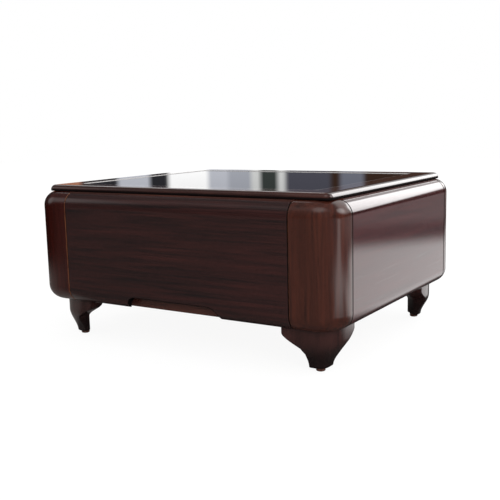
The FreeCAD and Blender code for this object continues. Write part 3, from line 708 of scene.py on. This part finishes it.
for node, body in (
    ("carcass_screws", "table"),
    ("front_drawer_screws", "front_drawer"),
    ("back_drawer_screws", "back_drawer"),
):
    stands_for = [node]
    for kind, sizes in SCREW_KINDS.items():
        name = f"{node.removesuffix('_screws')}_{kind}"
        mesh = run_tree(name, screw_tree, screw_places(node, sizes), {**sizes, "Finish": zinc_along})
        piece(name, mesh, body, "zinc_steel", *stands_for)
        stands_for = []
dress(["carcass_dowels", "mitre_splines"], lengthwise_wood)
dress(["foot_bolts", "glide_nails"], zinc_along)


# Drawer fronts
# A full-width board with rounded upper and lower edges and a finger pull cut into the lower edge.
# The grain runs along the table. Painted shade darkens and dulls the narrow gaps at its ends, and a
# painted shadow line runs round the pull.

FRONT_DARK, FRONT_RED = (0.0105, 0.0062, 0.0064), (0.041, 0.0118, 0.0104)
PULL_REACH, PULL_HEIGHT = 0.139, 0.030
PULL_SHADOW_LINE = 0.0024
front_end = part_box("front_drawer_front")[1].x
front_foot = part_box("front_drawer_front")[0].z


def front_shade(place):
    """Painted shade at the ends, and a painted shadow line round the pull with its quarter-round ends."""
    x, y, z = place.parts()
    past = (abs(x) - (PULL_REACH - PULL_HEIGHT)).larger(0.0)
    up = z - front_foot
    from_corner = (past * past + up * up).root()
    outline = near(from_corner - PULL_HEIGHT, PULL_SHADOW_LINE)
    return outline.larger(near(abs(x) - front_end, SEAM))


front_stain = lacquered("x", FRONT_DARK, FRONT_RED, front_shade)
front_finish = material("drawer_front_lacquer", front_stain, LACQUER)
dress(["front_drawer_front", "back_drawer_front"], front_finish)


# Drawer boxes and bumpers
# Varnished boards screwed at the corners, with a plywood bottom in a groove. Soft clear bumpers on
# the top rails catch the fronts as they close.

BUMPER_RIM = 0.0008
BUMPER_GREY, BUMPER_PALE = (0.42, 0.42, 0.40), (0.52, 0.52, 0.50)
for drawer in ("front_drawer", "back_drawer"):
    dress([f"{drawer}_inner_front", f"{drawer}_back"], crosswise_wood)
    dress([f"{drawer}_right_side", f"{drawer}_left_side"], lengthwise_wood)
    dress([f"{drawer}_bottom"], level_plywood)
bumper_finish = material("bumper_rubber", moulded(BUMPER_GREY, BUMPER_PALE), {})
bumper_solids = [corners_of(points) for points in solids_of("drawer_bumpers")]
low, high = bumper_solids[0]
bumper_sizes = {
    "Radius": (high.x - low.x) / 2, "Height": high.y - low.y, "Rim": BUMPER_RIM, "Finish": bumper_finish,
}
places = []
for low, high in bumper_solids:
    middle = (low + high) / 2
    outward = math.copysign(1, middle.y)
    places.append((Vector((middle.x, min(low.y, high.y, key=abs), middle.z)), Vector((0, outward, 0))))
mesh = run_tree("soft_bumpers", disc_tree, places, bumper_sizes)
piece("soft_bumpers", mesh, "table", "clear_rubber", "drawer_bumpers")


# Telescopic slides
# Three zinc-plated channels, one inside the other, that roll on rows of steel balls. The balls sit
# loose in the holes of thin cages.

bright_steel = material("ball_steel", plated("x"), {"Metallic": 1.0})
dress(["slide_cabinet_members"], zinc_along)
for drawer in ("front", "back"):
    dress([f"{drawer}_slide_middle_members", f"{drawer}_slide_drawer_members"], zinc_along)
    dress([f"{drawer}_slide_outer_ball_cages", f"{drawer}_slide_inner_ball_cages"], bright_steel)


# Top frame
# Four flat members with a rounded outer edge, mitred at the corners over hidden splines, with a pale
# bead round the glass. The grain turns at the mitres, where a fine dark line shows.

FRAME_DARK, FRAME_RED = (0.014, 0.0055, 0.0045), (0.055, 0.0190, 0.0150)
SHADOWED_EDGE = 0.007
frame_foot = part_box("top_frame_front_rail")[0].z
mitre_offset = half_x - half_y
MITRE, MITRE_SHARE = 0.0006, 0.8
BEAD, BEAD_PALE = 0.0016, (0.60, 0.58, 0.57)
GLASS_GAP = 0.001
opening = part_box("glass_panel")[1] + Vector((GLASS_GAP, GLASS_GAP, 0))


# Painted shadow: the frame's lower edge is dark and dull, as in a shadow gap.
def underside(place):
    z = place.parts()[2]
    return 1 - z.rise(frame_foot + SHADOWED_EDGE * 0.6, frame_foot + SHADOWED_EDGE)


def mitred(axis):
    """Stained along one axis, painted shadow below, with fine mitre lines and the bead round the glass."""
    stained = lacquered(axis, FRAME_DARK, FRAME_RED, underside)

    def surface(place):
        sockets = stained(place)
        x, y = place.parts()[:2]
        joint = near(abs(x) - abs(y) - mitre_offset, MITRE)
        colour = (joint * MITRE_SHARE).mix(sockets["Base Color"], JOINT_SHADE)
        past_x, past_y = abs(x) - opening.x, abs(y) - opening.y
        lip = 1 - past_x.larger(past_y).rise(BEAD * 0.5, BEAD)
        sockets["Base Color"] = lip.mix(colour, BEAD_PALE)
        return sockets

    return surface


FRAME_LACQUER = {**LACQUER, "Coat Roughness": 0.09}
rail_frame_finish = material("frame_rail_lacquer", mitred("x"), FRAME_LACQUER)
stile_frame_finish = material("frame_stile_lacquer", mitred("y"), FRAME_LACQUER)
dress(["top_frame_front_rail", "top_frame_back_rail"], rail_frame_finish)
dress(["top_frame_right_stile", "top_frame_left_stile"], stile_frame_finish)


# Glass, pads and backing board
# A sheet of glass, black on its underside, lies on pads in the frame's rebate, a hair below the
# frame's top and with a board under it. Its rim has a ground arris that shows as a thin pale line.

GLASS_CORNER = 0.012
ARRIS = 0.0012
GLASS_SUNK = 0.0013
GLASS_STEPS = 10
GLASS_CREASE = 20
GLASS_IOR = 1.52
GLASS_BLACK, GLASS_SMEAR = (0.0035, 0.0035, 0.0042), (0.006, 0.006, 0.007)
GROUND_DULL, GROUND_PALE = (0.50, 0.53, 0.53), (0.66, 0.68, 0.68)
PAD_GREY, PAD_PALE = (0.30, 0.30, 0.29), (0.40, 0.40, 0.39)
LEVEL_FACE = 0.99
SMEARS, SMEAR_TURN, GRIT = (9, 26, 1), (0, 0, 0.7), 3000.0


def polished(place):
    smear = place.scaled(SMEARS, SMEAR_TURN).noise(1.0, 4.0, 1.4)
    return {
        "Base Color": smear.rise(0.5, 0.8).mix(GLASS_BLACK, GLASS_SMEAR),
        "Roughness": 0.012 + 0.03 * smear.rise(0.45, 0.85),
    }


def ground(place):
    grit = place.noise(GRIT, 1.0)
    return {
        "Base Color": grit.mix(GROUND_DULL, GROUND_PALE),
        "Roughness": 0.22 + 0.2 * grit,
    }


glass_finish = material("black_glass", polished, {"IOR": GLASS_IOR})
arris_finish = material("ground_glass_rim", ground, {"IOR": GLASS_IOR})
low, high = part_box("glass_panel")


def glass_outline(inset):
    corners = [
        Vector((low.x + inset, low.y + inset)), Vector((high.x - inset, low.y + inset)),
        Vector((high.x - inset, high.y - inset)), Vector((low.x + inset, high.y - inset)),
    ]
    return rounded(corners, [GLASS_CORNER - inset] * len(corners), GLASS_STEPS)


top = high.z - GLASS_SUNK
rim_levels = [(low.z, ARRIS), (low.z + ARRIS, 0), (top - ARRIS, 0), (top, ARRIS)]
mesh = loft("black_glass_sheet", [(height, glass_outline(inset)) for height, inset in rim_levels])
mesh.materials.append(glass_finish)
mesh.materials.append(arris_finish)
for face in mesh.polygons:
    face.material_index = 0 if abs(face.normal.z) > LEVEL_FACE else 1
soften(mesh, GLASS_CREASE)
piece("black_glass_sheet", mesh, "table", "black_glass", "glass_panel")
pad_finish = material("pad_rubber", moulded(PAD_GREY, PAD_PALE), {})
dress(["glass_pads"], pad_finish)


# Studio
# A white floor under a soft even light. Gloss surfaces mirror a room that the camera doesn't see: a
# window behind on the right, a wall of light and dark panels behind the table, and soft glows above.


def bare_material(name):
    made = bpy.data.materials.new(name)
    made.use_nodes = True
    made.node_tree.nodes.clear()
    return made, Socket(made.node_tree, made.node_tree.nodes.new("ShaderNodeTexCoord").outputs["Object"])


def flat_sheet(name, corners, finish):
    mesh = bpy.data.meshes.new(name)
    mesh.from_pydata(corners, [], [tuple(range(len(corners)))])
    mesh.materials.append(finish)
    made = bpy.data.objects.new(name, mesh)
    bpy.context.scene.collection.objects.link(made)
    return made


def mirror_only(sheet):
    sheet.visible_camera = False
    sheet.visible_diffuse = False
    sheet.visible_shadow = False


# The floor is white to the camera and keeps the table's shadow. In mirrors it is bright on the right,
# where the light falls in aslant, dim in front, and a painted shadow darkens it under the table. Left of
# the diagonal out of the left front post it is pale near by and black far off.
FLOOR_HALF = 9.0
FLOOR_WHITE, FLOOR_SHADOW, FLOOR_BOUNCE = 0.92, (0.10, 0.10, 0.10, 1), (0.55, 0.55, 0.55, 1)
DIM_FLOOR, LIT_FLOOR, SHADOW_UNDER_TABLE = (0.06, 0.057, 0.055), (1.22, 1.19, 1.19), (0.02, 0.016, 0.016)
SHADOW_UNDER_SOFT = 0.08
LIT_BACK, LIT_SIDE, LIT_EDGE = (-0.15, 0.25), (0.70, 1.10), (-0.01, 0.06)
LIT_FRONT, LIT_FADE, LIT_SLOPE = -0.45, 1.1, -0.35
STRIP_DARK, STRIP_FAR = (0.09, 0.075, 0.083), (0.30, 0.26, 0.265)
STRIP_AT, STRIP_SOFT, STRIP_END = 1.77, 0.2, (0.35, 0.8)
NEAR_STRIP, NEAR_STRIP_BACK = (0.9, 1.7), (-0.6, 0.1)
STREAK_PALE, STREAK_SHARE = (1.0, 0.95, 0.95), 0.75
STREAK_Y, STREAK, STREAK_START = -0.36, 0.30, (0.35, 0.8)
LEFT_PALE, LEFT_BLACK = (0.22, 0.20, 0.19), (0.004, 0.002, 0.002)
LEFT_EDGE, LEFT_FADE = (0.024, 0.109), (0.85, 1.5)
FLOOR_TURN = math.radians(33)
floor_finish, place = bare_material("studio_floor")
across, ahead = place.scaled((1, 1, 1), (0, 0, -FLOOR_TURN)).parts()[:2]
x, y = place.parts()[:2]
past_x, past_y = abs(x) - half_x, abs(y) - half_y
past_right = x - half_x
lit = y.rise(*LIT_BACK).larger(past_right.rise(*LIT_SIDE)) * past_right.rise(*LIT_EDGE)
lit = lit * (ahead - LIT_SLOPE * across).rise(LIT_FRONT - LIT_FADE, LIT_FRONT)
mirrored = lit.mix(DIM_FLOOR, LIT_FLOOR)
near_strip = across.rise(*NEAR_STRIP) * (1 - ahead.rise(*NEAR_STRIP_BACK))
strip = across.rise(STRIP_AT - STRIP_SOFT, STRIP_AT + STRIP_SOFT).larger(near_strip)
mirrored = strip.mix(mirrored, (across - STRIP_AT).rise(*STRIP_END).mix(STRIP_DARK, STRIP_FAR))
streak = near(y - STREAK_Y, STREAK) * past_right.rise(*STREAK_START)
mirrored = (streak * STREAK_SHARE).mix(mirrored, STREAK_PALE)
from_x, from_y = x + seam_x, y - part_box("front_drawer_front")[0].y
to_left = (from_y - from_x).rise(*LEFT_EDGE) * (1 - x.rise(-seam_x, 0.0))
away = (from_x * from_x + from_y * from_y).root()
mirrored = to_left.mix(mirrored, away.rise(*LEFT_FADE).mix(LEFT_PALE, LEFT_BLACK))
# Painted shadow under the table in the floor's mirror image.
mirrored = past_x.larger(past_y).rise(-SHADOW_UNDER_SOFT, 0.0).mix(SHADOW_UNDER_TABLE, mirrored)
seen = place.node("ShaderNodeAddShader", {}, {
    0: place.node("ShaderNodeEmission", {}, {"Strength": FLOOR_WHITE}),
    1: place.node("ShaderNodeBsdfDiffuse", {}, {"Color": FLOOR_SHADOW}),
})
bounce = place.node("ShaderNodeBsdfDiffuse", {}, {"Color": FLOOR_BOUNCE})
shine = place.node("ShaderNodeEmission", {}, {"Color": mirrored})
in_mirror = place.node("ShaderNodeLightPath", {}, {}, "Is Glossy Ray")
in_camera = place.node("ShaderNodeLightPath", {}, {}, "Is Camera Ray")
floor_look = place.node("ShaderNodeMixShader", {}, {0: in_mirror, 1: bounce, 2: shine})
floor_look = place.node("ShaderNodeMixShader", {}, {0: in_camera, 1: floor_look, 2: seen})
place.node("ShaderNodeOutputMaterial", {}, {"Surface": floor_look}, None)
floor_corners = [(-FLOOR_HALF, -FLOOR_HALF, 0), (FLOOR_HALF, -FLOOR_HALF, 0)]
floor_corners += [(FLOOR_HALF, FLOOR_HALF, 0), (-FLOOR_HALF, FLOOR_HALF, 0)]
flat_sheet("floor", floor_corners, floor_finish)

# The wall stands far behind the table, square to the camera. Its panels follow the upright bands that
# the glass mirrors in the photograph, in a few plain tones, and each runs on to the place of the next.
WALL_AWAY = 6.0
WALL_HALF = 1.8
WALL_TOP = 1.05
WALL_SOFT = 0.02
BRIGHT, PALE, COOL = (1.36, 1.36, 1.36), (0.82, 0.83, 0.82), (0.65, 0.67, 0.74)
GREY, DIM, DUSKY = (0.48, 0.50, 0.56), (0.20, 0.21, 0.26), (0.09, 0.09, 0.115)
DARK, GREENISH = (0.03, 0.03, 0.035), (0.05, 0.06, 0.055)
BROWN, RUST = (0.05, 0.026, 0.017), (0.50, 0.22, 0.13)
WALL_PANELS = (
    (-1.26, DARK), (-0.98, COOL), (-0.74, DARK), (-0.60, BRIGHT), (-0.30, COOL), (-0.15, GREY),
    (0.02, PALE), (0.09, GREENISH), (0.22, PALE), (0.28, DUSKY), (0.62, BROWN), (0.69, DIM), (0.87, BROWN),
)
forward = Vector((-math.sin(YAW), math.cos(YAW), 0))
rightward = Vector((math.cos(YAW), math.sin(YAW), 0))
wall_foot = Vector((EYE.x, EYE.y, 0)) + forward * WALL_AWAY
wall_finish, place = bare_material("wall_panels")
along_wall = place.scaled((1, 1, 1), (0, 0, -YAW)).parts()[0]
share = (along_wall - (wall_foot.dot(rightward) - WALL_HALF)) * (0.5 / WALL_HALF)
stops = [(0, RUST)]
for where, colour in WALL_PANELS:
    stops.append(((where - WALL_SOFT + WALL_HALF) / (2 * WALL_HALF), stops[-1][1]))
    stops.append(((where + WALL_SOFT + WALL_HALF) / (2 * WALL_HALF), colour))
stops.append((1, stops[-1][1]))
panels = share.node("ShaderNodeValToRGB", {"stops": stops}, {"Fac": share})
glow = place.node("ShaderNodeEmission", {}, {"Color": panels})
place.node("ShaderNodeOutputMaterial", {}, {"Surface": glow}, None)
wall_corners = []
for sideways, height in ((-1, 0), (1, 0), (1, WALL_TOP), (-1, WALL_TOP)):
    wall_corners.append(wall_foot + rightward * (WALL_HALF * sideways) + Vector((0, 0, height)))
mirror_only(flat_sheet("wall_panels", wall_corners, wall_finish))

# A bright window with soft edges, close behind on the right. The rounded edges mirror it as white bands.
WINDOW_LEFT, WINDOW_RIGHT = 0.38, 1.45
WINDOW_SILL, WINDOW_HEAD = 0.50, 1.50
WINDOW_BACK = 1.6
WINDOW_SOFT = 0.14
WINDOW_GLOW = 3.1
window_finish, place = bare_material("window_light")
x, y, z = place.parts()
pane = WINDOW_GLOW
for along, start, end in ((x, WINDOW_LEFT, WINDOW_RIGHT), (z, WINDOW_SILL, WINDOW_HEAD)):
    pane = pane * along.rise(start, start + WINDOW_SOFT) * (1 - along.rise(end - WINDOW_SOFT, end))
glow = place.node("ShaderNodeAddShader", {}, {
    0: place.node("ShaderNodeEmission", {}, {"Strength": pane}),
    1: place.node("ShaderNodeBsdfTransparent", {}, {}),
})
place.node("ShaderNodeOutputMaterial", {}, {"Surface": glow}, None)
window_corners = [(WINDOW_LEFT, WINDOW_BACK, WINDOW_SILL), (WINDOW_RIGHT, WINDOW_BACK, WINDOW_SILL)]
window_corners += [(WINDOW_RIGHT, WINDOW_BACK, WINDOW_HEAD), (WINDOW_LEFT, WINDOW_BACK, WINDOW_HEAD)]
mirror_only(flat_sheet("window_light", window_corners, window_finish))

# Two broad lamps give the shadows their side. Mirrors don't show them.
LAMPS = {
    "window": {"place": (0.9, 4.4, 1.75), "size": (4.8, 2.1), "watts": 90},
    "front_softbox": {"place": (1.75, -1.75, 1.0), "size": (1.2, 1.0), "watts": 24},
}
LAMP_AIM = Vector((0, 0, 0.3))
for name, lamp in LAMPS.items():
    light = bpy.data.objects.new(name, bpy.data.lights.new(name, "AREA"))
    light.data.shape = "RECTANGLE"
    light.data.size, light.data.size_y = lamp["size"]
    light.data.energy = lamp["watts"]
    light.location = lamp["place"]
    light.rotation_euler = (LAMP_AIM - light.location).to_track_quat("-Z", "Y").to_euler()
    light.visible_camera = False
    light.visible_glossy = False
    bpy.context.scene.collection.objects.link(light)

# The sky is white to the camera and a soft fill to the table, stronger from above and from the right.
# Mirrors see a dim room with a light behind, a fainter one overhead in front, and round glows.
FILL_LOW, FILL_HIGH, FILL_RIGHT = 0.45, 0.85, 0.6
ROOM_LOW, ROOM_HIGH = 0.02, 0.06
BACK_GLOW, BACK_SIDE, BACK_DEPTH = 0.8, (-0.35, -0.08), (0.2, 0.5)
BACK_FOOT, BACK_HEAD = (0.10, 0.30), (0.80, 0.92)
CEILING_GLOW, CEILING_DEPTH, CEILING_FOOT = 0.1, (0.1, 0.4), (0.55, 0.8)
GLOWS = (
    {"way": (0.15, -0.50, 0.85), "spread": 24, "strength": 0.45},
    {"way": (0.79, 0.316, 0.524), "spread": 19, "strength": 1.75},
    {"way": (-0.85, -0.35, 0.40), "spread": 20, "strength": 0.5},
    {"way": (-0.59, 0.59, 0.55), "spread": 18, "strength": 1.5},
)
WHITE = (1, 1, 1, 1)
world = bpy.data.worlds.new("studio")
world.use_nodes = True
world.node_tree.nodes.clear()
sky = Socket(world.node_tree, world.node_tree.nodes.new("ShaderNodeTexCoord").outputs["Generated"])
to_right, to_back, up = sky.parts()
height = up.rise(0.0, 1.0)
in_mirror = sky.node("ShaderNodeLightPath", {}, {}, "Is Glossy Ray")
in_camera = sky.node("ShaderNodeLightPath", {}, {}, "Is Camera Ray")
white = sky.node("ShaderNodeBackground", {}, {"Strength": 1.0, "Color": WHITE})
soft_light = (FILL_LOW + FILL_HIGH * height) * (1 + FILL_RIGHT * to_right)
fill = sky.node("ShaderNodeBackground", {}, {"Strength": soft_light, "Color": WHITE})
back_light = to_right.rise(*BACK_SIDE) * to_back.rise(*BACK_DEPTH)
back_light = back_light * up.rise(*BACK_FOOT) * (1 - up.rise(*BACK_HEAD))
ceiling_light = (0 - to_back).rise(*CEILING_DEPTH) * up.rise(*CEILING_FOOT)
mirrored_light = ROOM_LOW + ROOM_HIGH * height + BACK_GLOW * back_light + CEILING_GLOW * ceiling_light
for glow in GLOWS:
    facing = sky.node("ShaderNodeVectorMath", {"operation": "DOT_PRODUCT"}, {0: sky, 1: glow["way"]}, 1)
    spread = math.radians(glow["spread"])
    mirrored_light = mirrored_light + glow["strength"] * facing.rise(math.cos(spread), 1.0)
room = sky.node("ShaderNodeBackground", {}, {"Strength": mirrored_light, "Color": WHITE})
around = sky.node("ShaderNodeMixShader", {}, {0: in_mirror, 1: fill, 2: room})
around = sky.node("ShaderNodeMixShader", {}, {0: in_camera, 1: around, 2: white})
sky.node("ShaderNodeOutputWorld", {}, {"Surface": around}, None)
bpy.context.scene.world = world
bpy.context.scene.view_settings.view_transform = "Standard"
